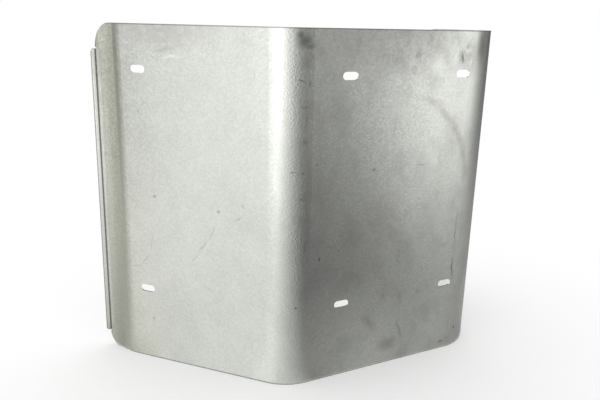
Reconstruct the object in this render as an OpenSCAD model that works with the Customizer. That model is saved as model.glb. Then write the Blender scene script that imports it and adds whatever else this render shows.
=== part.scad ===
/* [Sheet] */
// Height of the shield, from its lower edge to its upper edge
shield_h = 400; // [380:5:520]
// Thickness of the galvanised sheet
sheet_t = 1.5; // [1:0.1:3]

/* [Left panel] */
// Width of the left panel, between the sharp corners of its two bends
left_panel_w = 208; // [150:1:300]
// Distance of the left slots' middle from the sharp corner of the left bend
left_slot_inset = 26; // [18:1:60]

/* [Right panel] */
// Width of the right panel, between the sharp corners of its two bends
right_panel_w = 287; // [270:1:380]
// Distance between the two columns of slots, which stand evenly about the panel's middle
slot_pitch_x = 150; // [60:1:160]

/* [Bends] */
// Angle through which the middle bend turns the sheet
middle_bend_a = 47.03; // [30:0.01:60]
// Inner radius of the middle bend
middle_bend_r = 57; // [20:1:70]
// Angle through which the left bend turns the sheet
left_bend_a = 14.72; // [8:0.01:25]
// Inner radius of the left bend
left_bend_r = 38.5; // [20:0.5:50]
// Inner radius of the right bend, which turns the sheet through a right angle
right_bend_r = 57; // [20:1:60]

/* [Left flange] */
// Width of the left flange at its lower edge, from the sharp corner of its bend
left_flange_low_w = 42.4; // [40:0.1:60]
// Width of the left flange at its upper edge, where it is a little narrower
left_flange_top_w = 35.6; // [35:0.1:60]
// Radius of the left flange's upper corner
left_corner_top_r = 26; // [10:1:27]
// Radius of the left flange's lower corner
left_corner_low_r = 16; // [10:1:27]

/* [Lip] */
// Height of the lip above the left flange's outer face
lip_h = 5.5; // [4:0.1:12]
// Inner radius of the fold that raises the lip
lip_fold_r = 1.2; // [0.5:0.1:2]
// Distance from where each round corner ends to the lip's end
lip_end_gap = 2.5; // [2:0.5:20]
// Radius of the lip's two outer corners
lip_corner_r = 4; // [1:0.1:4]
// Width of the relief cut beside each end of the lip
relief_w = 1.5; // [1:0.1:2]

/* [Right flange] */
// Depth of the right flange, from the right panel's outer face to its rear edge
right_flange_d = 169; // [110:1:240]
// Radius of the right flange's two rear corners
right_corner_r = 26; // [8:1:40]

/* [Slots] */
// Length of each slot, from one round end to the other
slot_l = 19; // [12:0.5:26]
// Width of each slot, which passes an M8 bolt
slot_w = 8.5; // [5:0.1:11]
// Height of the lower row of slots above the lower edge
slot_low_z = 92; // [40:1:110]
// Depth of the upper row of slots below the upper edge
slot_top_z = 48; // [40:1:110]

/* [Hidden] */

// Segments of a circle, high enough to stand for a true one
$fn = 96;
// How far a cutter runs past the sheet
past = 5;
// How much too large the left flange's rounds are drawn, so that they cross its edges cleanly
hair = 0.002;
// The right bend is square
right_bend_a = 90;

// Distance from a bend's sharp corner to where its curve starts, on the outer face
function bend_reach(r, turn) = (r + sheet_t) * tan(turn / 2);
middle_reach = bend_reach(middle_bend_r, middle_bend_a);
left_reach = bend_reach(left_bend_r, left_bend_a);
right_reach = bend_reach(right_bend_r, right_bend_a);

// Lengths of the flat stretches between the bends
left_panel_flat = left_panel_w - middle_reach - left_reach;
right_panel_flat = right_panel_w - middle_reach - right_reach;
right_flange_flat = right_flange_d - right_reach;
left_flange_blank = max(left_flange_low_w, left_flange_top_w) + past - left_reach;

// Lean of the left flange's rear edge, and the direction that it faces
rear_lean = atan((left_flange_low_w - left_flange_top_w) / shield_h);
rear_normal = [cos(rear_lean), sin(rear_lean)];

// Centres of the left flange's round corners, measured along the flange and up
low_centre = [left_flange_low_w - left_corner_low_r * (1 + sin(rear_lean)) / cos(rear_lean),
    left_corner_low_r];
top_centre = [left_flange_top_w - left_corner_top_r * (1 - sin(rear_lean)) / cos(rear_lean),
    shield_h - left_corner_top_r];

// Depth of the reliefs, which end just inside the line where the lip's fold starts
relief_d = lip_fold_r + sheet_t / 2;

// Ends of the lip along the leaning rear edge
lip_low = left_corner_low_r + lip_end_gap;
lip_top = shield_h - left_corner_top_r - lip_end_gap;

// Plan directions of the left panel and the left flange, from the middle bend to the rear
left_panel_a = 180 - middle_bend_a;
left_flange_a = left_panel_a - left_bend_a;
left_corner = left_panel_w * [cos(left_panel_a), sin(left_panel_a)];

// Extents in plan: the lip's tip on the left, and the deeper of the two sides at the rear
tip_run = left_flange_low_w + sheet_t - (lip_low + lip_corner_r) * sin(rear_lean);
left_extent = left_corner[0] + tip_run * cos(left_flange_a) - lip_h * sin(left_flange_a);
fold_run = (left_flange_low_w - lip_low * sin(rear_lean)) * sin(left_flange_a);
fold_extent = lip_fold_r + sheet_t - lip_fold_r * (sin(left_flange_a) - cos(left_flange_a));
rear_extent = max(right_flange_d, left_corner[1] + fold_run + fold_extent);

// Moves what follows past a bend, so that x runs on along the outer face
module past_bend(r, turn) {
    translate([0, r + sheet_t]) rotate(turn) translate([0, -r - sheet_t]) children();
}

// A bend in plan, with the next stretch of sheet drawn on at its end
module bend(r, turn) {
    reach = 2 * (r + sheet_t);
    translate([0, r + sheet_t]) difference() {
        circle(r + sheet_t);
        circle(r);
        translate([-reach, -reach]) square([reach, 2 * reach]);
        rotate(turn) translate([0, -reach]) square([reach, 2 * reach]);
    }
    past_bend(r, turn) children();
}

// The folded sheet in plan, drawn from the middle bend to the right and then to the left
module sheet_plan() {
    translate([middle_reach, 0]) {
        square([right_panel_flat, sheet_t]);
        translate([right_panel_flat, 0]) bend(right_bend_r, right_bend_a)
        square([right_flange_flat, sheet_t]);
        mirror([1, 0]) bend(middle_bend_r, middle_bend_a) {
            square([left_panel_flat, sheet_t]);
            translate([left_panel_flat, 0]) bend(left_bend_r, left_bend_a)
            square([left_flange_blank, sheet_t]);
        }
    }
}

// Frame of the left panel: x from the middle corner to the left, y into the shield, z up
module at_left_panel() {
    translate([middle_reach, 0]) mirror([1, 0, 0]) past_bend(middle_bend_r, middle_bend_a)
    translate([-middle_reach, 0]) children();
}

// Frame of the left flange: x from its bend's corner to the rear, y into the shield, z up
module at_left_flange() {
    translate([middle_reach, 0]) mirror([1, 0, 0]) past_bend(middle_bend_r, middle_bend_a)
    translate([left_panel_flat, 0]) past_bend(left_bend_r, left_bend_a)
    translate([-left_reach, 0]) children();
}

// Frame of the right flange: x from its bend's corner to the rear, y into the shield, z up
module at_right_flange() {
    translate([middle_reach + right_panel_flat, 0]) past_bend(right_bend_r, right_bend_a)
    translate([-right_reach, 0]) children();
}

// Runs a flat shape, with x along the sheet and y up, right through the sheet
module through_sheet() {
    rotate([90, 0, 0]) linear_extrude(2 * (sheet_t + past), center = true) children();
}

// One slot with full round ends, with its middle at zero
module slot_outline() {
    straight = slot_l - slot_w;
    for (side = [-1, 1]) translate([side * straight / 2, 0]) circle(slot_w / 2);
    square([straight, slot_w], center = true);
}

// The two slots of one column, one in each row
module slot_column(x) {
    for (z = [slot_low_z, shield_h - slot_top_z]) translate([x, z]) slot_outline();
}

// What stays of the left flange: a leaning rear edge between two round corners
module left_flange_outline() {
    translate(low_centre) circle(left_corner_low_r + hair);
    translate(top_centre) circle(left_corner_top_r + hair);
    polygon([[-past, -2 * past], [low_centre[0], -2 * past], low_centre,
        low_centre + left_corner_low_r * rear_normal,
        top_centre + left_corner_top_r * rear_normal,
        top_centre, [top_centre[0], shield_h + 2 * past], [-past, shield_h + 2 * past]]);
}

// The waste round the left flange, with the strip and the reliefs that the lip's fold needs
module left_flange_waste() {
    difference() {
        translate([left_reach, -past])
        square([left_flange_blank + past, shield_h + 2 * past]);
        left_flange_outline();
    }
    translate([left_flange_low_w, 0]) rotate(rear_lean)
    translate([-relief_d, lip_low - relief_w])
    square([relief_d + past, lip_top - lip_low + 2 * relief_w]);
}

// The waste outside one round rear corner of the right flange, with the corner at zero
module corner_waste(r) {
    difference() {
        translate([-r, -past]) square([r + past, r + past]);
        translate([-r, r]) circle(r);
    }
}

// The waste outside both round rear corners of the right flange
module right_flange_waste() {
    translate([right_flange_d, 0]) corner_waste(right_corner_r);
    translate([right_flange_d, shield_h]) mirror([0, 1]) corner_waste(right_corner_r);
}

// Section through the lip: x out of the rear edge, y into the shield
module lip_section() {
    foot = 2 * sheet_t;
    translate([-lip_fold_r - foot, 0]) square([foot, sheet_t]);
    translate([-lip_fold_r, -lip_fold_r]) difference() {
        circle(lip_fold_r + sheet_t);
        circle(lip_fold_r);
        translate([-past, -past]) square([past, 2 * past]);
        translate([-past, -past]) square([2 * past, past]);
    }
    translate([0, -lip_h]) square([sheet_t, lip_h - lip_fold_r]);
}

// Side view of the lip with its round corners: x up the rear edge, y into the shield
module lip_outline() {
    corner_y = lip_corner_r - lip_h;
    for (x = [lip_low + lip_corner_r, lip_top - lip_corner_r])
        translate([x, corner_y]) circle(lip_corner_r);
    translate([lip_low + lip_corner_r, -lip_h])
    square([lip_top - lip_low - 2 * lip_corner_r, lip_h]);
    translate([lip_low, corner_y]) square([lip_top - lip_low, past - corner_y]);
}

// The lip that stands out of the left flange's rear edge
module lip() {
    at_left_flange() translate([left_flange_low_w, 0, 0]) rotate([0, -rear_lean, 0])
    intersection() {
        linear_extrude(shield_h) lip_section();
        rotate([0, -90, 0]) linear_extrude(4 * past, center = true) lip_outline();
    }
}

// The whole shield, folded from one sheet, with zero under the middle of its extents
module heat_shield() {
    color("#b9bcb6")
    translate([-(left_extent + right_panel_w) / 2, -rear_extent / 2, 0]) {
        difference() {
            linear_extrude(shield_h) sheet_plan();
            at_left_flange() through_sheet() left_flange_waste();
            at_right_flange() through_sheet() right_flange_waste();
            at_left_panel() through_sheet() slot_column(left_panel_w - left_slot_inset);
            for (side = [-1, 1])
                through_sheet() slot_column((right_panel_w + side * slot_pitch_x) / 2);
        }
        lip();
    }
}

heat_shield();
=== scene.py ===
# %% [markdown]
# # An exhaust heat shield in galvanised sheet
# The shield is one piece of zinc-coated steel sheet, folded into two tall panels with a
# flange on each side. Its shape, slots and lip are already right in the CAD model. What this
# lesson adds is the finish: a satin zinc skin with marks of use, and the studio it mirrors.

# %% Load the frame
import math

import bpy
from mathutils import Matrix, Vector


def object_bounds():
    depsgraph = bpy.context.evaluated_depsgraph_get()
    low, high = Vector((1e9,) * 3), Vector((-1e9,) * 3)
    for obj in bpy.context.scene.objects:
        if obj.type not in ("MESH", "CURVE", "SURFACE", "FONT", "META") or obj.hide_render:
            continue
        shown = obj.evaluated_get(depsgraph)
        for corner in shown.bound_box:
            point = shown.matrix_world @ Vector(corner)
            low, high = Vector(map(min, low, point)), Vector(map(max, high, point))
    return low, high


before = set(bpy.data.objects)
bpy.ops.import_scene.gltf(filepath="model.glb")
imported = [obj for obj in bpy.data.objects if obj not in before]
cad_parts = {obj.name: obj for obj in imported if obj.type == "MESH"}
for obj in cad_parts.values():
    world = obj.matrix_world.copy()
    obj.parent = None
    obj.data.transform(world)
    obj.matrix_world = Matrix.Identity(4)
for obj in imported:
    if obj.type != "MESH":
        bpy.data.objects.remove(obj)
bpy.context.view_layer.update()
cad_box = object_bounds()
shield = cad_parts["heat_shield"]
scene = bpy.context.scene
MM = 0.001
SHIELD_H_MM = round(cad_box[1][2] / MM)
print("CAD box, lowest and highest corner:", cad_box)

# %% [markdown]
# ## Colours and nodes
# Colours are written as sRGB hex values, as a paint chart or a picture editor gives them.
# Blender's shaders want linear light, so one function converts them. A second one adds a
# node, sets its values and links its inputs, so that each step of a material stays short.


# %% Two helpers
def linear(hex_colour, times=1.0):
    """An sRGB hex colour as linear red, green, blue and alpha."""
    out = []
    for k in (1, 3, 5):
        s = int(hex_colour[k : k + 2], 16) / 255
        out.append(times * (s / 12.92 if s <= 0.04045 else ((s + 0.055) / 1.055) ** 2.4))
    return (*out, 1.0)


def add(tree, kind, inputs=None, **settings):
    """Adds a node. Each input is a plain value, a socket, or a node whose result goes in."""
    node = tree.nodes.new(kind)
    for name, value in settings.items():
        setattr(node, name, value)
    for key, value in (inputs or {}).items():
        if isinstance(value, bpy.types.Node):
            value = next(socket for socket in value.outputs if socket.enabled)
        if isinstance(value, bpy.types.NodeSocket):
            tree.links.new(value, node.inputs[key])
        else:
            node.inputs[key].default_value = value
    return node


# The colour mixing node's two colours are its sockets 6 and 7; its factor is socket 0.
MIX_A, MIX_B = 6, 7
print("zinc grey in linear light:", [round(c, 3) for c in linear("#d6d8d2")[:3]])

# %% [markdown]
# ## Finding a place on the folded sheet
# Stains and scratches are easiest to place with a ruler on the sheet as it was before it was
# folded. This cell walks along the outer face from the middle of the middle bend, through
# each flat and each bend, and gives the point and the direction in which the sheet runs
# there. Places to the left of that bend are negative.

# %% A ruler along the sheet
MIDDLE_TURN, LEFT_TURN, RIGHT_TURN = 47.03, 14.72, 90.0
# Length of each stretch of the outer face in millimetres, and the degrees that it turns
TO_THE_RIGHT = ((24.0, MIDDLE_TURN / 2), (203.0, 0), (91.9, RIGHT_TURN), (110.5, 0))
TO_THE_LEFT = ((24.0, MIDDLE_TURN / 2), (177.4, 0), (10.3, LEFT_TURN), (37.2, 0))
RIGHT_END = sum(length for length, _ in TO_THE_RIGHT)
LEFT_END = -sum(length for length, _ in TO_THE_LEFT)
# In millimetres: where the panels' outer faces would meet without the middle bend, the
# radius of that bend, and how far its middle lies behind the corner
CORNER, BEND_R = Vector((-59.89, -95.17, 0)), 58.5
RECESS = BEND_R / math.cos(math.radians(MIDDLE_TURN / 2)) - BEND_R
MIDDLE_HEADING = -MIDDLE_TURN / 2


def on_sheet(along, up):
    """Point in metres and heading in degrees at a place that is given in millimetres."""
    side = 1 if along >= 0 else -1
    heading = MIDDLE_HEADING if side > 0 else MIDDLE_HEADING + 180
    inward = math.radians(MIDDLE_HEADING + 90)
    point = CORNER + RECESS * Vector((math.cos(inward), math.sin(inward), 0))
    rest = abs(along)
    for length, turn in TO_THE_RIGHT if side > 0 else TO_THE_LEFT:
        part = min(rest, length)
        bent = math.radians(side * turn * part / length) / 2
        chord = part * (math.sin(bent) / bent if bent else 1)
        way = math.radians(heading) + bent
        point = point + chord * Vector((math.cos(way), math.sin(way), 0))
        heading += 2 * math.degrees(bent)
        rest -= part
    point.z = up
    return point * MM, heading if side > 0 else heading - 180


print("left flange's edge:", [round(c, 3) for c in on_sheet(LEFT_END, 0)[0]])
print("right flange's edge:", [round(c, 3) for c in on_sheet(RIGHT_END, 0)[0]])

# %% [markdown]
# ## Galvanised steel
# The sheet is steel dipped in molten zinc. The zinc freezes into small crystals, the spangle,
# each a little lighter or darker and tilted a little its own way. It could be an image of
# real spangle, but cells and noise from nodes need no image and have no seam on a bend. The
# skin is a metal, so its colour is its reflection, and roughness sets how soft that is.

# %% Spangle, grain and clouds
galvanised = bpy.data.materials.new("hot_dip_galvanised_steel")
galvanised.use_nodes = True
zinc = galvanised.node_tree
zinc.nodes.clear()
place = add(zinc, "ShaderNodeTexCoord").outputs["Object"]
normal = add(zinc, "ShaderNodeNewGeometry").outputs["Normal"]

# Fine spangle is about 1 mm across, and the grain between is finer still. Both are drawn
# about 2 mm across, because one pixel of the picture covers 1.1 mm of the sheet.
SPANGLE_MM, GRAIN_MM, CLOUD_MM = 2.0, 1.8, 42
spangle = add(zinc, "ShaderNodeTexVoronoi", {"Vector": place, "Scale": 1 / (SPANGLE_MM * MM)})
tone = add(zinc, "ShaderNodeSeparateColor", {0: spangle.outputs["Color"]})
grain = add(
    zinc, "ShaderNodeTexNoise",
    {"Vector": place, "Scale": 1 / (GRAIN_MM * MM), "Detail": 2.0, "Roughness": 0.6},
)
clouds = add(
    zinc, "ShaderNodeTexNoise",
    {"Vector": place, "Scale": 1 / (CLOUD_MM * MM), "Detail": 4.0, "Distortion": 0.8},
)
print("spangle", SPANGLE_MM, "mm, grain", GRAIN_MM, "mm, clouds", CLOUD_MM, "mm")

# %% [markdown]
# ## One grey from three patterns
# Clean zinc is never one flat grey. The three patterns are added to one shade, each with its
# own weight, and the shade picks a colour between a darker and a lighter grey.

# %% The zinc's own colour
ZINC_LIGHT, ZINC_DARK = "#dfe1db", "#cbcdc7"
# How much each pattern moves the shade away from the middle
SHADE_FROM = (
    (tone.outputs[0], 0.44), (grain.outputs["Fac"], 0.70), (clouds.outputs["Fac"], 0.60),
)
shade = 0.5 - sum(weight for _, weight in SHADE_FROM) / 2
for pattern, weight in SHADE_FROM:
    shade = add(zinc, "ShaderNodeMath", {0: pattern, 1: weight, 2: shade}, operation="MULTIPLY_ADD")
shade.use_clamp = True
colour = add(
    zinc, "ShaderNodeMix",
    {0: shade, MIX_A: linear(ZINC_DARK), MIX_B: linear(ZINC_LIGHT)}, data_type="RGBA",
)
print("zinc from", ZINC_DARK, "to", ZINC_LIGHT)

# %% [markdown]
# ## Inside and outside
# The outer face has been handled, wiped and stacked, and the inner one hardly. A point on the
# outer face looks away from the middle of the shield, and one on the inner face looks towards
# it, so the dot product of the two directions tells them apart without painting a mask.

# %% The outer face
MIDDLE_OF_SHIELD = (0.04, 0.14, 0.2)
arm = add(zinc, "ShaderNodeVectorMath", {0: place, 1: MIDDLE_OF_SHIELD}, operation="SUBTRACT")
away = add(zinc, "ShaderNodeVectorMath", {0: arm, 1: normal}, operation="DOT_PRODUCT")
outer = add(
    zinc, "ShaderNodeMath", {0: away.outputs["Value"], 1: 0.0}, operation="GREATER_THAN"
)
print("outer face found from", MIDDLE_OF_SHIELD)

# %% [markdown]
# ## Marks of use, painted shade and painted highlights
# The real sheet is not clean: there are greasy smudges at the middle bend, brown stains near
# the upper edge, scuffs, hair scratches and small knocks. A few rows are painted shade and
# painted highlights instead: long bands along the lip, and two broad bright patches on the
# right panel. Each mark is an ellipse on the sheet, warped a little by noise so that no outline
# is regular. A painted image would do this too, but a table can be read, measured and changed.

# %% The table of marks
# Kind, along and up the sheet, length, width, turn in degrees, strength
MARKS = (
    # Middle bend and beside it
    ("grime_and_shade", 13, 387, 26, 26, 0, 0.70), ("grime_and_shade", 19, 382, 16, 11, 30, 0.60),
    ("grime_and_shade", 9, 392, 12, 20, 0, 0.70), ("grime_and_shade", 16, 366, 18, 22, 0, 0.30),
    ("grime_and_shade", 21, 373, 14, 6, -56, 0.30), ("grime_and_shade", 32, 376, 20, 14, -17, 0.16),
    ("scratch", 10, 348, 13, 1.8, -15, 0.60), ("scratch", 19, 345, 9, 2.2, -88, 0.55),
    ("grime_and_shade", 15, 321, 14, 6, 13, 0.36), ("grime_and_shade", 16, 306, 4, 36, 0, 0.30),
    ("grime_and_shade", 15, 285, 12, 10, 0, 0.40), ("scratch", 3, 253, 11, 2.0, 10, 0.50),
    ("grime_and_shade", 13, 251, 5, 4, 0, 0.70), ("grime_and_shade", 13, 223, 10, 6, 0, 0.36),
    ("grime_and_shade", 18, 170, 9, 26, 0, 0.30), ("grime_and_shade", 8.5, 97, 3.6, 3.6, 0, 1.00),
    ("grime_and_shade", 30, 260, 4.5, 4, 0, 0.50), ("scratch", 36, 152, 7, 2.6, 88, 0.80),
    ("scratch", 54, 164, 22, 1.6, -24, 0.26), ("scratch", 61, 158, 13, 1.6, -30, 0.28),
    # Right panel and right bend, upper half
    ("grime_and_shade", 102, 249, 6, 5, 0, 0.50), ("grime_and_shade", 118, 283, 4, 3, 0, 0.30),
    ("scratch", 167, 249, 15, 2.4, -4, 0.42), ("stain", 101, 395, 40, 12, 0, 0.50),
    ("stain", 121, 370, 36, 24, -24, 0.42), ("stain", 151, 372, 20, 44, 0, 0.56),
    ("stain", 148, 356, 14, 12, 0, 0.40), ("stain", 164, 389, 34, 24, 0, 0.60),
    ("stain", 205, 392, 50, 24, 0, 0.20), ("stain", 118, 392, 86, 52, 0, 0.44),
    ("scuff", 176, 322, 64, 17, -20, 0.22), ("scuff", 198, 305, 60, 16, -42, 0.32),
    ("scuff", 216, 284, 58, 15, -58, 0.32), ("scuff", 227, 260, 54, 15, -72, 0.30),
    # The rubs at 178, 262 and at 134, 316 are painted highlights, standing in for reflection
    ("scuff", 232, 238, 48, 15, -86, 0.24), ("rub_and_highlight", 178, 262, 64, 90, -20, 0.26),
    ("rub_and_highlight", 134, 316, 56, 44, -30, 0.32), ("grime_and_shade", 215, 370, 5, 18, 8, 0.55),
    ("grime_and_shade", 220, 382, 4, 13, -8, 0.30), ("rub_and_highlight", 226, 365, 5, 17, -8, 0.35),
    ("stain", 213, 372, 20, 30, 0, 0.40), ("stain", 262, 384, 22, 56, 0, 0.50),
    ("grime_and_shade", 244, 383, 26, 66, 0, 0.60), ("stain", 223, 370, 52, 64, 0, 0.34),
    # Right panel and right bend, lower half
    ("grime_and_shade", 228, 110, 4, 44, 6, 0.60), ("grime_and_shade", 228, 160, 4, 92, 0, 0.34),
    ("grime_and_shade", 209, 266, 4, 28, 0, 0.20), ("scratch", 210, 145, 18, 1.6, 22, 0.26),
    ("grime_and_shade", 242, 24, 5, 8, 0, 0.80), ("grime_and_shade", 220, 10, 14, 8, 6, 0.45),
    ("grime_and_shade", 133, 24, 40, 24, 10, 0.20), ("grime_and_shade", 143, 142, 9, 40, 0, 0.22),
    ("grime_and_shade", 125, 91, 10, 14, 0, 0.30), ("grime_and_shade", 150, 85, 7, 28, 0, 0.24),
    ("grime_and_shade", 106, 61, 46, 16, -54, 0.22), ("grime_and_shade", 152, 41, 42, 6, -63, 0.28),
    ("grime_and_shade", 176, 88, 10, 10, 0, 0.20), ("grime_and_shade", 190, 60, 30, 50, 0, 0.14),
    ("grime_and_shade", 230, 36, 5, 28, 0, 0.20),
    # Wide, faint shades
    ("rub_and_highlight", 180, 361, 34, 36, 0, 0.34), ("stain", 118, 188, 70, 90, 0, 0.18),
    ("stain", 72, 172, 36, 50, 0, 0.20), ("stain", 20, 225, 12, 150, 0, 0.22),
    ("stain", 138, 26, 56, 30, 0, 0.22), ("stain", 27, 384, 16, 24, 0, 0.22),
    ("stain", -212, 373, 12, 60, 0, 0.28),
    # Left panel
    ("stain", -144, 394, 160, 64, 0, 0.24),
    ("grime_and_shade", -182, 306, 3.6, 6, 0, 0.40), ("grime_and_shade", -182, 289, 3.6, 7, 0, 0.24),
    ("scratch", -159, 365, 12, 1.8, -29, 0.32), ("scratch", -154, 372, 17, 1.6, 27, 0.22),
    ("rub_and_highlight", -137, 366, 34, 6, 2, 0.50), ("grime_and_shade", -143, 374, 40, 8, 9, 0.14),
    ("grime_and_shade", -166, 209, 6, 5.5, 0, 0.46), ("grime_and_shade", -83, 201, 8, 6, 25, 0.36),
    ("grime_and_shade", -53, 211, 5, 7, 0, 0.20), ("grime_and_shade", -59, 195, 19, 3.4, 29, 0.24),
    ("scratch", -91, 176, 34, 2.0, 62, 0.20), ("scratch", -104, 156, 23, 2.8, 49, 0.26),
    ("scratch", -114, 141, 28, 2.0, 47, 0.20), ("scratch", -172, 151, 29, 2.0, 79, 0.17),
    ("scratch", -181, 130, 28, 2.0, 51, 0.22), ("scratch", -195, 119, 20, 2.2, 13, 0.20),
    ("scratch", -98, 106, 30, 2.2, -23, 0.17), ("grime_and_shade", -174, 53, 4, 4, 0, 0.50),
    ("scratch", -22, 186, 17, 1.8, -68, 0.17),
    # Left flange, along the lip: long bands of painted shade and a painted highlight
    ("grime_and_shade", -239, 370, 9, 380, -1, 0.32), ("grime_and_shade", -242, 372, 13, 260, -1, 0.34),
    ("rub_and_highlight", -235, 235, 26, 400, -1, 0.52),
)
print(len(MARKS), "marks")

# %% [markdown]
# ## From table to layers
# A spherical gradient is a ball that fades from its middle. Flattened and turned, it is the
# ellipse of one mark. Marks of one kind share a layer, in which the strongest mark wins, so
# that two smudges that overlap don't turn black. Only the outer face carries them.

# %% One layer for each kind
# Kind: how soft the edge is, from 0 to 1, and how far the noise warps it in millimetres
KINDS = {
    "grime_and_shade": (0.90, 3.0),
    "stain": (0.95, 9.0),
    "scratch": (0.80, 0.8),
    "scuff": (1.00, 3.0),
    "rub_and_highlight": (0.95, 4.0),
}
# A mark reaches this far into the sheet, so that it still covers a bend
REACH_MM = 6
# Waves of the warping noise in a metre, so each is about 11 mm long
WOBBLE_PER_M = 90.0
# Noise and cell colours lie on both sides of this middle
NOISE_MIDDLE = (0.5, 0.5, 0.5)
wobble = add(zinc, "ShaderNodeTexNoise", {"Vector": place, "Scale": WOBBLE_PER_M, "Detail": 3.0})
centred = add(
    zinc, "ShaderNodeVectorMath",
    {0: wobble.outputs["Color"], 1: NOISE_MIDDLE}, operation="SUBTRACT",
)
layers = {}
for kind, (softness, warp) in KINDS.items():
    warped = add(
        zinc, "ShaderNodeVectorMath",
        {0: centred, 1: (2 * warp * MM,) * 3, 2: place}, operation="MULTIPLY_ADD",
    )
    layer = 0.0
    for _, along, up, length, width, turn, strength in (m for m in MARKS if m[0] == kind):
        point, heading = on_sheet(along, up)
        blob = add(zinc, "ShaderNodeTexGradient", {"Vector": warped}, gradient_type="SPHERICAL")
        lies = blob.texture_mapping
        lies.vector_type = "TEXTURE"
        lies.translation = point
        lies.rotation = (0, math.radians(-turn), math.radians(heading))
        lies.scale = (length / 2 * MM, REACH_MM * MM, width / 2 * MM)
        mask = add(
            zinc, "ShaderNodeMapRange",
            {"Value": blob.outputs["Fac"], "From Max": softness, "To Max": strength},
            interpolation_type="SMOOTHSTEP",
        )
        layer = add(zinc, "ShaderNodeMath", {0: mask, 1: layer}, operation="MAXIMUM")
    layers[kind] = add(zinc, "ShaderNodeMath", {0: layer, 1: outer}, operation="MULTIPLY")
print("layers:", ", ".join(layers))

# %% [markdown]
# ## Wiping and handling
# Between the marks the sheet is dull in soft patches where it was wiped and handled, more so
# to the right of the middle bend. Each patch could be one more row of the table, but nobody
# could tell one from the next, so noise gives them, stretched a little up the sheet.

# %% Soiled patches
PATCH_MM, PATCH_STRENGTH, SHARE_ON_THE_LEFT = 26, 0.15, 0.3
# Where the noise starts to be a patch, and where the patch is full
PATCH_FROM, PATCH_FULL = 0.46, 0.72
# Where the left share ends and the full one starts, in metres
LEFT_X, RIGHT_X = -0.07, -0.03
patches = add(
    zinc, "ShaderNodeTexNoise",
    {"Vector": add(zinc, "ShaderNodeMapping", {"Vector": place, "Scale": (1.0, 1.0, 0.7)}),
     "Scale": 1 / (PATCH_MM * MM), "Detail": 4.0, "Roughness": 0.55, "Distortion": 0.2},
)
axes = add(zinc, "ShaderNodeSeparateXYZ", {0: place})
to_right = add(
    zinc, "ShaderNodeMapRange",
    {"Value": axes.outputs["X"], "From Min": LEFT_X, "From Max": RIGHT_X,
     "To Min": SHARE_ON_THE_LEFT},
    interpolation_type="SMOOTHSTEP",
)
soiled = add(
    zinc, "ShaderNodeMapRange",
    {"Value": patches.outputs["Fac"], "From Min": PATCH_FROM, "From Max": PATCH_FULL,
     "To Max": PATCH_STRENGTH},
    interpolation_type="SMOOTHSTEP",
)
soiled = add(zinc, "ShaderNodeMath", {0: soiled, 1: to_right}, operation="MULTIPLY")
layers["grime_and_shade"] = add(zinc, "ShaderNodeMath", {0: layers["grime_and_shade"], 1: soiled}, operation="MAXIMUM")
print("patches of", PATCH_MM, "mm")

# %% [markdown]
# ## A haze of old oil
# Near the upper edge a brownish haze starts at the middle bend, grows stronger over the right
# panel and fades before the right bend. Three ramps, multiplied, hold it in that place: one
# up the sheet and two across it.

# %% The haze
HAZE_STRENGTH = 0.42
# In metres: where the haze starts and is full, and where it begins to fade and ends
HAZE_FROM_Z, HAZE_FULL_Z = 0.33, 0.40
HAZE_FROM_X, HAZE_FULL_X, HAZE_FADES_X, HAZE_END_X = -0.06, 0.06, 0.11, 0.155
haze_up = add(
    zinc, "ShaderNodeMapRange",
    {"Value": axes.outputs["Z"], "From Min": HAZE_FROM_Z, "From Max": HAZE_FULL_Z},
    interpolation_type="SMOOTHSTEP",
)
haze = add(
    zinc, "ShaderNodeMapRange",
    {"Value": axes.outputs["X"], "From Min": HAZE_FROM_X, "From Max": HAZE_FULL_X,
     "To Max": HAZE_STRENGTH},
    interpolation_type="SMOOTHSTEP",
)
haze_end = add(
    zinc, "ShaderNodeMapRange",
    {"Value": axes.outputs["X"], "From Min": HAZE_END_X, "From Max": HAZE_FADES_X},
    interpolation_type="SMOOTHSTEP",
)
for part in (haze_up, haze_end, outer):
    haze = add(zinc, "ShaderNodeMath", {0: haze, 1: part}, operation="MULTIPLY")
layers["stain"] = add(zinc, "ShaderNodeMath", {0: layers["stain"], 1: haze}, operation="MAXIMUM")
print("haze above", HAZE_FROM_Z, "m, up to", HAZE_STRENGTH)

# %% [markdown]
# ## Marks in the colour
# Dirt and the painted shade that shares its layer darken what lies under them, so their
# colours are multiplied in, and the spangle still shows through. A rub is bright metal laid
# bare, and the painted highlights share its layer, so it is mixed in and covers. The inner face
# was never handled, so its zinc is still bright.

# %% Colours of the layers and of the inner face
LAYER_COLOURS = {
    # Grime's colour is also the colour of the painted shade along the lip
    "grime_and_shade": "#5f655b", "stain": "#988d92", "scuff": "#8a7468", "scratch": "#4a4c48",
    # The rub's colour is also the colour of the painted highlights
    "rub_and_highlight": "#f4f5f0",
}
for kind, tint in LAYER_COLOURS.items():
    colour = add(
        zinc, "ShaderNodeMix",
        {0: layers[kind], MIX_A: colour, MIX_B: linear(tint)},
        data_type="RGBA", blend_type="MIX" if kind == "rub_and_highlight" else "MULTIPLY",
    )
ZINC_INSIDE = "#f0f1ef"
colour = add(
    zinc, "ShaderNodeMix", {0: outer, MIX_A: linear(ZINC_INSIDE), MIX_B: colour}, data_type="RGBA"
)
print("layer colours", LAYER_COLOURS)

# %% [markdown]
# ## Sheared edges
# The sheet was sheared after it was dipped, so its edges are dull bare steel. The upper and
# lower edges are the faces that look straight up or down, and a dark line, less than two
# millimetres wide, is painted on the faces beside them. No mesh is split for it: the normal and
# the height say where it goes.

# %% Upper and lower edges
CUT_STEEL_AND_SHADE = "#5a5650"
# The height of the normal at which a face starts to be an edge, and is one in full
CUT_FROM, CUT_FULL = 0.6, 0.9
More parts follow.
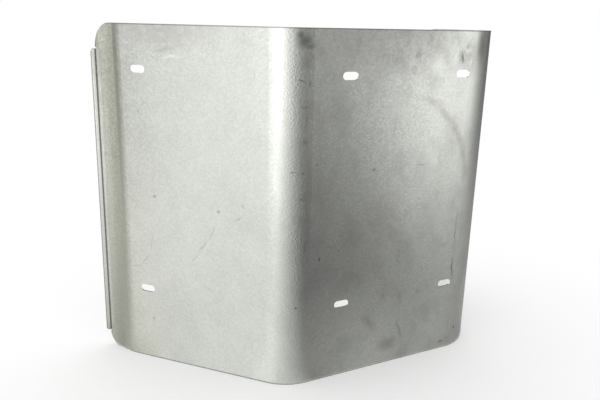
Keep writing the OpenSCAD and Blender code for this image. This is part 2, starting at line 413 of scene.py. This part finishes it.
# A dark line painted on the faces beside the upper and lower edges: its width and strength
EDGE_LINE_MM, EDGE_LINE_STRENGTH = 0.9, 0.6
normal_axes = add(zinc, "ShaderNodeSeparateXYZ", {0: normal})
steep = add(zinc, "ShaderNodeMath", {0: normal_axes.outputs["Z"]}, operation="ABSOLUTE")
cut_and_shade = add(
    zinc, "ShaderNodeMapRange", {"Value": steep, "From Min": CUT_FROM, "From Max": CUT_FULL},
    interpolation_type="SMOOTHSTEP",
)
from_middle = add(
    zinc, "ShaderNodeMath", {0: axes.outputs["Z"], 1: SHIELD_H_MM / 2 * MM}, operation="SUBTRACT"
)
from_middle = add(zinc, "ShaderNodeMath", {0: from_middle}, operation="ABSOLUTE")
edge_line = add(
    zinc, "ShaderNodeMapRange",
    {"Value": from_middle, "From Min": (SHIELD_H_MM / 2 - 2 * EDGE_LINE_MM) * MM,
     "From Max": (SHIELD_H_MM / 2 - EDGE_LINE_MM / 2) * MM, "To Max": EDGE_LINE_STRENGTH},
    interpolation_type="SMOOTHSTEP",
)
cut_and_shade = add(zinc, "ShaderNodeMath", {0: cut_and_shade, 1: edge_line}, operation="MAXIMUM")
print("cut edges in", CUT_STEEL_AND_SHADE)

# %% [markdown]
# ## The lip's fold
# The lip on the left flange is found by its own ruler: the distance past the flange's leaning
# rear edge, and the height above its outer face. Painted shade darkens the narrow valley where
# the lip is folded out of the flange, and the lip's tip is cut steel as the other edges are.

# %% A ruler for the lip
LIP_H_MM, NARROWER_AT_TOP_MM = 5.5, 6.8
flange_edge, flange_heading = on_sheet(LEFT_END, 0)
way = math.radians(flange_heading)
back_along = (-math.cos(way), -math.sin(way), NARROWER_AT_TOP_MM / SHIELD_H_MM)
out_of_flange = (math.sin(way), -math.cos(way), 0)
from_edge = add(zinc, "ShaderNodeVectorMath", {0: place, 1: flange_edge}, operation="SUBTRACT")
past_edge, above = (
    add(
        zinc, "ShaderNodeVectorMath", {0: from_edge, 1: direction}, operation="DOT_PRODUCT"
    ).outputs["Value"]
    for direction in (back_along, out_of_flange)
)
print("lip's edge at", [round(c, 3) for c in flange_edge])

# %% Valley and tip
# Valley middle past the edge and above the flange, and where its painted shade ends and is full
VALLEY_AT_MM, VALLEY_END_MM, VALLEY_FULL_MM, VALLEY_STRENGTH = (-0.4, 0.4, 0), 1.2, 0.5, 0.85
# The tip starts this high above the flange and this far past its edge
TIP_FROM_MM, TIP_BEHIND_MM, TIP_STRENGTH = LIP_H_MM - 0.25, -1.0, 0.4
ruler = add(zinc, "ShaderNodeCombineXYZ", {"X": past_edge, "Y": above})
near = add(
    zinc, "ShaderNodeVectorMath",
    {0: ruler, 1: [step * MM for step in VALLEY_AT_MM]}, operation="DISTANCE",
)
# The valley's darkening is painted shade in the fold of the lip
valley_shade = add(
    zinc, "ShaderNodeMapRange",
    {"Value": near.outputs["Value"], "From Min": VALLEY_END_MM * MM,
     "From Max": VALLEY_FULL_MM * MM, "To Max": VALLEY_STRENGTH},
    interpolation_type="SMOOTHSTEP",
)
tip = add(zinc, "ShaderNodeMath", {0: above, 1: TIP_FROM_MM * MM}, operation="GREATER_THAN")
behind = add(
    zinc, "ShaderNodeMath", {0: past_edge, 1: TIP_BEHIND_MM * MM}, operation="GREATER_THAN"
)
for part in (behind, TIP_STRENGTH):
    tip = add(zinc, "ShaderNodeMath", {0: tip, 1: part}, operation="MULTIPLY")
for layer in (valley_shade, tip):
    cut_and_shade = add(zinc, "ShaderNodeMath", {0: cut_and_shade, 1: layer}, operation="MAXIMUM")
# Cut steel at the edges and tip; the valley's painted shade and the edge line share its colour
colour = add(
    zinc, "ShaderNodeMix", {0: cut_and_shade, MIX_A: colour, MIX_B: linear(CUT_STEEL_AND_SHADE)}, data_type="RGBA"
)
print("valley_shade", 2 * VALLEY_END_MM, "mm wide, tip from", TIP_FROM_MM, "mm up")

# %% [markdown]
# ## Roughness
# Rolled and dipped zinc is satin: its roughness is about 0.25 to 0.35, and the lighter
# crystals are the smoother ones. Grime, stains and cut steel are duller than clean zinc, and
# the painted shade in their layers is made duller with them.

# %% Roughness
ZINC_SMOOTH, ZINC_ROUGH = 0.24, 0.32
DULLER = ((layers["grime_and_shade"], 0.20), (layers["stain"], 0.12), (cut_and_shade, 0.20))
roughness = add(
    zinc, "ShaderNodeMapRange", {"Value": shade, "To Min": ZINC_ROUGH, "To Max": ZINC_SMOOTH}
)
for layer, rougher in DULLER:
    roughness = add(
        zinc, "ShaderNodeMath", {0: layer, 1: rougher, 2: roughness}, operation="MULTIPLY_ADD"
    )
print("roughness", ZINC_SMOOTH, "to", ZINC_ROUGH, "on clean zinc")

# %% [markdown]
# ## Relief
# Each crystal leans a little its own way, and the zinc between is a little uneven. Where the
# studio changes from bright to dark, at the bends, this shows as light and dark grain. The
# lean moves the normal by a small random step for each cell; the grain is a bump, and it is
# deeper at the middle bend, where folding stretched the zinc.

# %% Leaning crystals and grain
LEAN, GRAIN_HEIGHT_MM = 0.04, 0.08
GRAIN_ON_FLAT, GRAIN_ON_BEND = 0.4, 5.5
# Place of the deepest grain on the ruler, and how far from it the grain ends and is full
STRETCHED_AT, STRETCH_END_MM, STRETCH_FULL_MM = 9, 22, 6
fold = on_sheet(STRETCHED_AT, 0)[0]
in_plan = add(zinc, "ShaderNodeVectorMath", {0: place, 1: (1, 1, 0)}, operation="MULTIPLY")
to_fold = add(zinc, "ShaderNodeVectorMath", {0: in_plan, 1: fold}, operation="DISTANCE")
stretched = add(
    zinc, "ShaderNodeMapRange",
    {"Value": to_fold.outputs["Value"], "From Min": STRETCH_END_MM * MM,
     "From Max": STRETCH_FULL_MM * MM, "To Min": GRAIN_ON_FLAT, "To Max": GRAIN_ON_BEND},
    interpolation_type="SMOOTHSTEP",
)
lean = add(
    zinc, "ShaderNodeVectorMath",
    {0: spangle.outputs["Color"], 1: NOISE_MIDDLE}, operation="SUBTRACT",
)
leaning = add(
    zinc, "ShaderNodeVectorMath", {0: lean, 1: (LEAN,) * 3, 2: normal}, operation="MULTIPLY_ADD"
)
relief = add(
    zinc, "ShaderNodeBump",
    {"Height": add(zinc, "ShaderNodeMath", {0: grain, 1: stretched}, operation="MULTIPLY"),
     "Distance": GRAIN_HEIGHT_MM * MM,
     "Normal": add(zinc, "ShaderNodeVectorMath", {0: leaning}, operation="NORMALIZE")},
)
print("crystals lean by up to", LEAN / 2, "radians")

# %% [markdown]
# ## The shader
# One Principled shader takes the colour, roughness and relief. It is fully metallic, because
# what the eye meets is zinc everywhere, and the thin dirt on it is in the colour already.

# %% The shader
skin = add(
    zinc, "ShaderNodeBsdfPrincipled",
    {"Base Color": colour, "Metallic": 1.0, "Roughness": roughness, "Normal": relief},
)
add(zinc, "ShaderNodeOutputMaterial", {"Surface": skin})
shield.data.materials.clear()
shield.data.materials.append(galvanised)
print(len(zinc.nodes), "nodes in", galvanised.name)

# %% [markdown]
# ## Floor and world
# The shield stands on plain white paper under a white sky of strength 1, so a colour renders
# about as it is written. Rays from the camera, and those that metal mirrors, see the paper a
# little whiter than it lights the shield, so that it joins the sky and still holds a shadow.

# %% A white floor
FLOOR_R, FLOOR_CORNERS = 3.0, 96
PAPER, PAPER_LIFT = "#fafafa", 0.07
bpy.ops.mesh.primitive_circle_add(vertices=FLOOR_CORNERS, radius=FLOOR_R, fill_type="NGON")
floor = bpy.context.object
floor.name = "floor"
paper = bpy.data.materials.new("white_paper")
paper.use_nodes = True
fibre = paper.node_tree
fibre.nodes.clear()
seen = add(fibre, "ShaderNodeLightPath")
direct = seen.outputs["Is Camera Ray"]
for ray in ("Is Glossy Ray", "Is Transmission Ray"):
    direct = add(fibre, "ShaderNodeMath", {0: direct, 1: seen.outputs[ray]}, operation="MAXIMUM")
lift = add(fibre, "ShaderNodeMath", {0: direct, 1: PAPER_LIFT}, operation="MULTIPLY")
matt = add(
    fibre, "ShaderNodeBsdfPrincipled",
    {"Base Color": linear(PAPER), "Roughness": 0.9, "Specular IOR Level": 0.0,
     "Emission Color": (1, 1, 1, 1), "Emission Strength": lift},
)
add(fibre, "ShaderNodeOutputMaterial", {"Surface": matt})
floor.data.materials.append(paper)
print("floor", 2 * FLOOR_R, "m across")

# %% A white sky
world = bpy.data.worlds.new("studio")
scene.world = world
world.use_nodes = True
sky = world.node_tree.nodes["Background"].inputs
sky["Color"].default_value = (1, 1, 1, 1)
sky["Strength"].default_value = 1.0
print("sky of strength", sky["Strength"].default_value)

# %% [markdown]
# ## What the metal mirrors
# A bare metal panel looks like what stands round it, so a photographer surrounds it with
# white boards, a lamp and black cloth. Separate boards could do that here; one ring round the
# shield, which only reflections see, keeps the whole set-up in one table. It stands close to
# the shield at its foot and leans outwards, as boards on a table would.

# %% The shape of the ring
# Half its width, half its depth, and how square its corners are: 2 is an oval
FRONT_FOOT, REAR_FOOT, RING_TOP = (0.242, 0.108, 4), (0.242, 0.108, 8), (0.66, 0.54, 2)
FOOT_Z, TOP_Z = 0.001, 0.60
RING_STEPS = 120


def on_ring(angle, shape, z):
    """Point on a rounded oblong, straight ahead at zero and turning to the left."""
    half_x, half_y, squareness = shape
    across, ahead = abs(math.sin(angle)) / half_x, abs(math.cos(angle)) / half_y
    r = (across**squareness + ahead**squareness) ** (-1 / squareness)
    return (-r * math.sin(angle), -r * math.cos(angle), z)


def on_foot(angle):
    """Point on the foot of the ring, which is rounder in front than at the rear."""
    return on_ring(angle, FRONT_FOOT if math.cos(angle) > 0 else REAR_FOOT, FOOT_Z)


verts, faces = [], []
for k in range(RING_STEPS):
    angle = 2 * math.pi * k / RING_STEPS
    verts += [on_foot(angle), on_ring(angle, RING_TOP, TOP_Z)]
    n = (k + 1) % RING_STEPS
    faces.append((2 * k, 2 * n, 2 * n + 1, 2 * k + 1))
print("ring with", len(faces), "faces")

# %% [markdown]
# ## Painted shade on the floor at the foot
# Low on the panels the metal would mirror the white paper as a bright line. A strip of painted
# shade, which only reflections see, stands in for the floor's shade there. It fills the table
# between the sheet's outer face and the foot of the boards, and belongs to the ring's mesh, so
# it takes its brightness from the same table.

# %% The floor's painted shade and the ring's object
# Painted shade of the floor, seen only in reflections: step along the sheet, gap from it
FLOOR_SHADE_STEP_MM, FLOOR_SHADE_GAP_MM = 8, 1
floor_shade_strip = []
for along in range(int(LEFT_END), int(RIGHT_END), FLOOR_SHADE_STEP_MM):
    edge, heading = on_sheet(along, FOOT_Z / MM)
    out = Vector((math.sin(math.radians(heading)), -math.cos(math.radians(heading)), 0))
    edge = edge + FLOOR_SHADE_GAP_MM * MM * out
    floor_shade_strip.append(len(verts))
    verts += [tuple(edge), on_foot(math.atan2(-edge.x, -edge.y))]
faces += [(k, k + 1, k + 3, k + 2) for k in floor_shade_strip[:-1]]
ring_mesh = bpy.data.meshes.new("ring")
ring_mesh.from_pydata(verts, [], faces)
ring = bpy.data.objects.new("ring_of_boards", ring_mesh)
scene.collection.objects.link(ring)
ring.visible_camera = False
ring.visible_diffuse = False
ring.visible_shadow = False
ring.visible_transmission = False
print("cloth with", len(floor_shade_strip) - 1, "faces")

# %% [markdown]
# ## The boards on the ring
# Each row of the table is one direction round the shield: how bright the boards are there
# high up, low down and at the foot, and their tint. White paper is 1. The bright lamp stands
# to the left of the front, and the dark boards straight ahead shade the right panel beside
# the middle bend. Colour ramps blend from one row to the next, one ramp for each height.

# %% The table of boards
# Degrees from the front towards the left, glow high up, low down and at the foot, tint
HIGH, LOW, FOOT, TINT = 1, 2, 3, 4
BOARDS = (
    (-180, 1.00, 1.00, 1.00, "#ffffff"), (-150, 0.60, 0.60, 0.75, "#ffffff"),
    (-115, 0.35, 0.45, 0.60, "#ffffff"), (-92, 0.15, 0.35, 0.55, "#ffffff"),
    (-78, 0.25, 0.35, 0.50, "#ffffff"), (-66, 0.55, 0.45, 0.35, "#ffffff"),
    (-55, 1.20, 0.45, 0.45, "#ffffff"), (-45, 1.35, 0.35, 0.40, "#ffffff"),
    (-37, 0.95, 0.30, 0.45, "#ffffff"), (-28, 0.55, 0.25, 0.45, "#ffffff"),
    (-8, 0.30, 0.20, 0.40, "#ffffff"), (4, 0.20, 0.15, 0.35, "#ffffff"),
    (12, 0.35, 0.20, 0.30, "#ffffff"), (20, 0.70, 0.40, 0.45, "#ffffff"),
    (38, 1.25, 0.80, 0.85, "#ffffff"), (44, 2.25, 1.00, 1.05, "#ffffff"),
    (53, 2.05, 1.00, 1.05, "#ffffff"), (58, 1.25, 0.95, 0.95, "#ffffff"),
    (80, 1.10, 1.05, 0.95, "#ffffff"), (90, 1.00, 0.95, 0.85, "#ffffff"),
    (97, 0.60, 1.05, 0.90, "#fffffb"), (103, 0.20, 0.65, 0.75, "#fffff6"),
    (110, 0.25, 0.35, 0.40, "#fefff3"), (117, 1.60, 1.50, 0.95, "#fefff3"),
    (125, 1.55, 1.45, 0.95, "#fefff3"), (135, 0.75, 0.75, 0.80, "#ffffff"),
    (152, 0.65, 0.65, 0.70, "#ffffff"), (166, 2.10, 1.90, 1.60, "#ffffff"),
    (180, 1.00, 1.00, 1.00, "#ffffff"),
)
# A ramp's colours end at 1, so they are divided by this and the shader multiplies it back
GLOW_MAX = 2.5
print(len(BOARDS), "rows from the rear, round the right, the front and the left")

# %% A ramp for each height
boards = bpy.data.materials.new("studio_boards")
boards.use_nodes = True
glow = boards.node_tree
glow.nodes.clear()
ring_axes = add(
    glow, "ShaderNodeSeparateXYZ", {0: add(glow, "ShaderNodeTexCoord").outputs["Object"]}
)
flipped = [
    add(glow, "ShaderNodeMath", {0: ring_axes.outputs[axis], 1: -1.0}, operation="MULTIPLY")
    for axis in ("X", "Y")
]
direction = add(glow, "ShaderNodeMath", {0: flipped[0], 1: flipped[1]}, operation="ARCTAN2")
round_the_ring = add(
    glow, "ShaderNodeMapRange",
    {"Value": direction, "From Min": -math.pi, "From Max": math.pi},
)
bands = {}
for level in (HIGH, LOW, FOOT):
    ramp = add(glow, "ShaderNodeValToRGB", {"Fac": round_the_ring})
    stops = ramp.color_ramp.elements
    stops.remove(stops[-1])
    for k, board in enumerate(BOARDS):
        at = (board[0] + 180) / 360
        stop = stops[0] if k == 0 else stops.new(at)
        stop.position = at
        stop.color = linear(board[TINT], board[level] / GLOW_MAX)[:3] + (1,)
    bands[level] = ramp
print(len(bands), "ramps of", len(stops), "stops")

# %% Blending the heights
# Heights in metres: the low glow ends and the high one is full, and the foot's glow has faded
LOW_END_Z, HIGH_FULL_Z, FOOT_END_Z = 0.05, 0.36, 0.10
height = add(
    glow, "ShaderNodeMapRange",
    {"Value": ring_axes.outputs["Z"], "From Min": LOW_END_Z, "From Max": HIGH_FULL_Z},
    interpolation_type="SMOOTHSTEP",
)
foot = add(
    glow, "ShaderNodeMapRange",
    {"Value": ring_axes.outputs["Z"], "From Min": FOOT_END_Z, "From Max": 0.0},
)
blend = add(
    glow, "ShaderNodeMix", {0: height, MIX_A: bands[LOW], MIX_B: bands[HIGH]}, data_type="RGBA"
)
blend = add(glow, "ShaderNodeMix", {0: foot, MIX_A: blend, MIX_B: bands[FOOT]}, data_type="RGBA")
light = add(glow, "ShaderNodeEmission", {"Color": blend, "Strength": GLOW_MAX})
add(glow, "ShaderNodeOutputMaterial", {"Surface": light})
ring_mesh.materials.append(boards)
print("brightest board", max(max(board[HIGH:TINT]) for board in BOARDS), "times white paper")

# %% [markdown]
# ## Camera
# The camera's place, direction and lens come from fitting the shield's outline, bends and
# slots to the photograph. Its height is just above the shield's upper edge.

# %% Camera
CAMERA_AT = (-0.33232, -0.65789, 0.40463)
CAMERA_TURN, CAMERA_DOWN, CAMERA_ROLL = 26.813, 16.030, 1.277
SENSOR_MM, LENS_MM = 36.0, 37.082
camera_data = bpy.data.cameras.new("camera")
camera = bpy.data.objects.new("camera", camera_data)
scene.collection.objects.link(camera)
camera_data.sensor_width = SENSOR_MM
camera_data.lens = LENS_MM
turned = (
    Matrix.Rotation(math.radians(-CAMERA_TURN), 4, "Z")
    @ Matrix.Rotation(math.radians(90 - CAMERA_DOWN), 4, "X")
    @ Matrix.Rotation(math.radians(CAMERA_ROLL), 4, "Z")
)
camera.matrix_world = Matrix.Translation(CAMERA_AT) @ turned
scene.camera = camera
scene.view_settings.view_transform = "Standard"
print("camera at", CAMERA_AT)
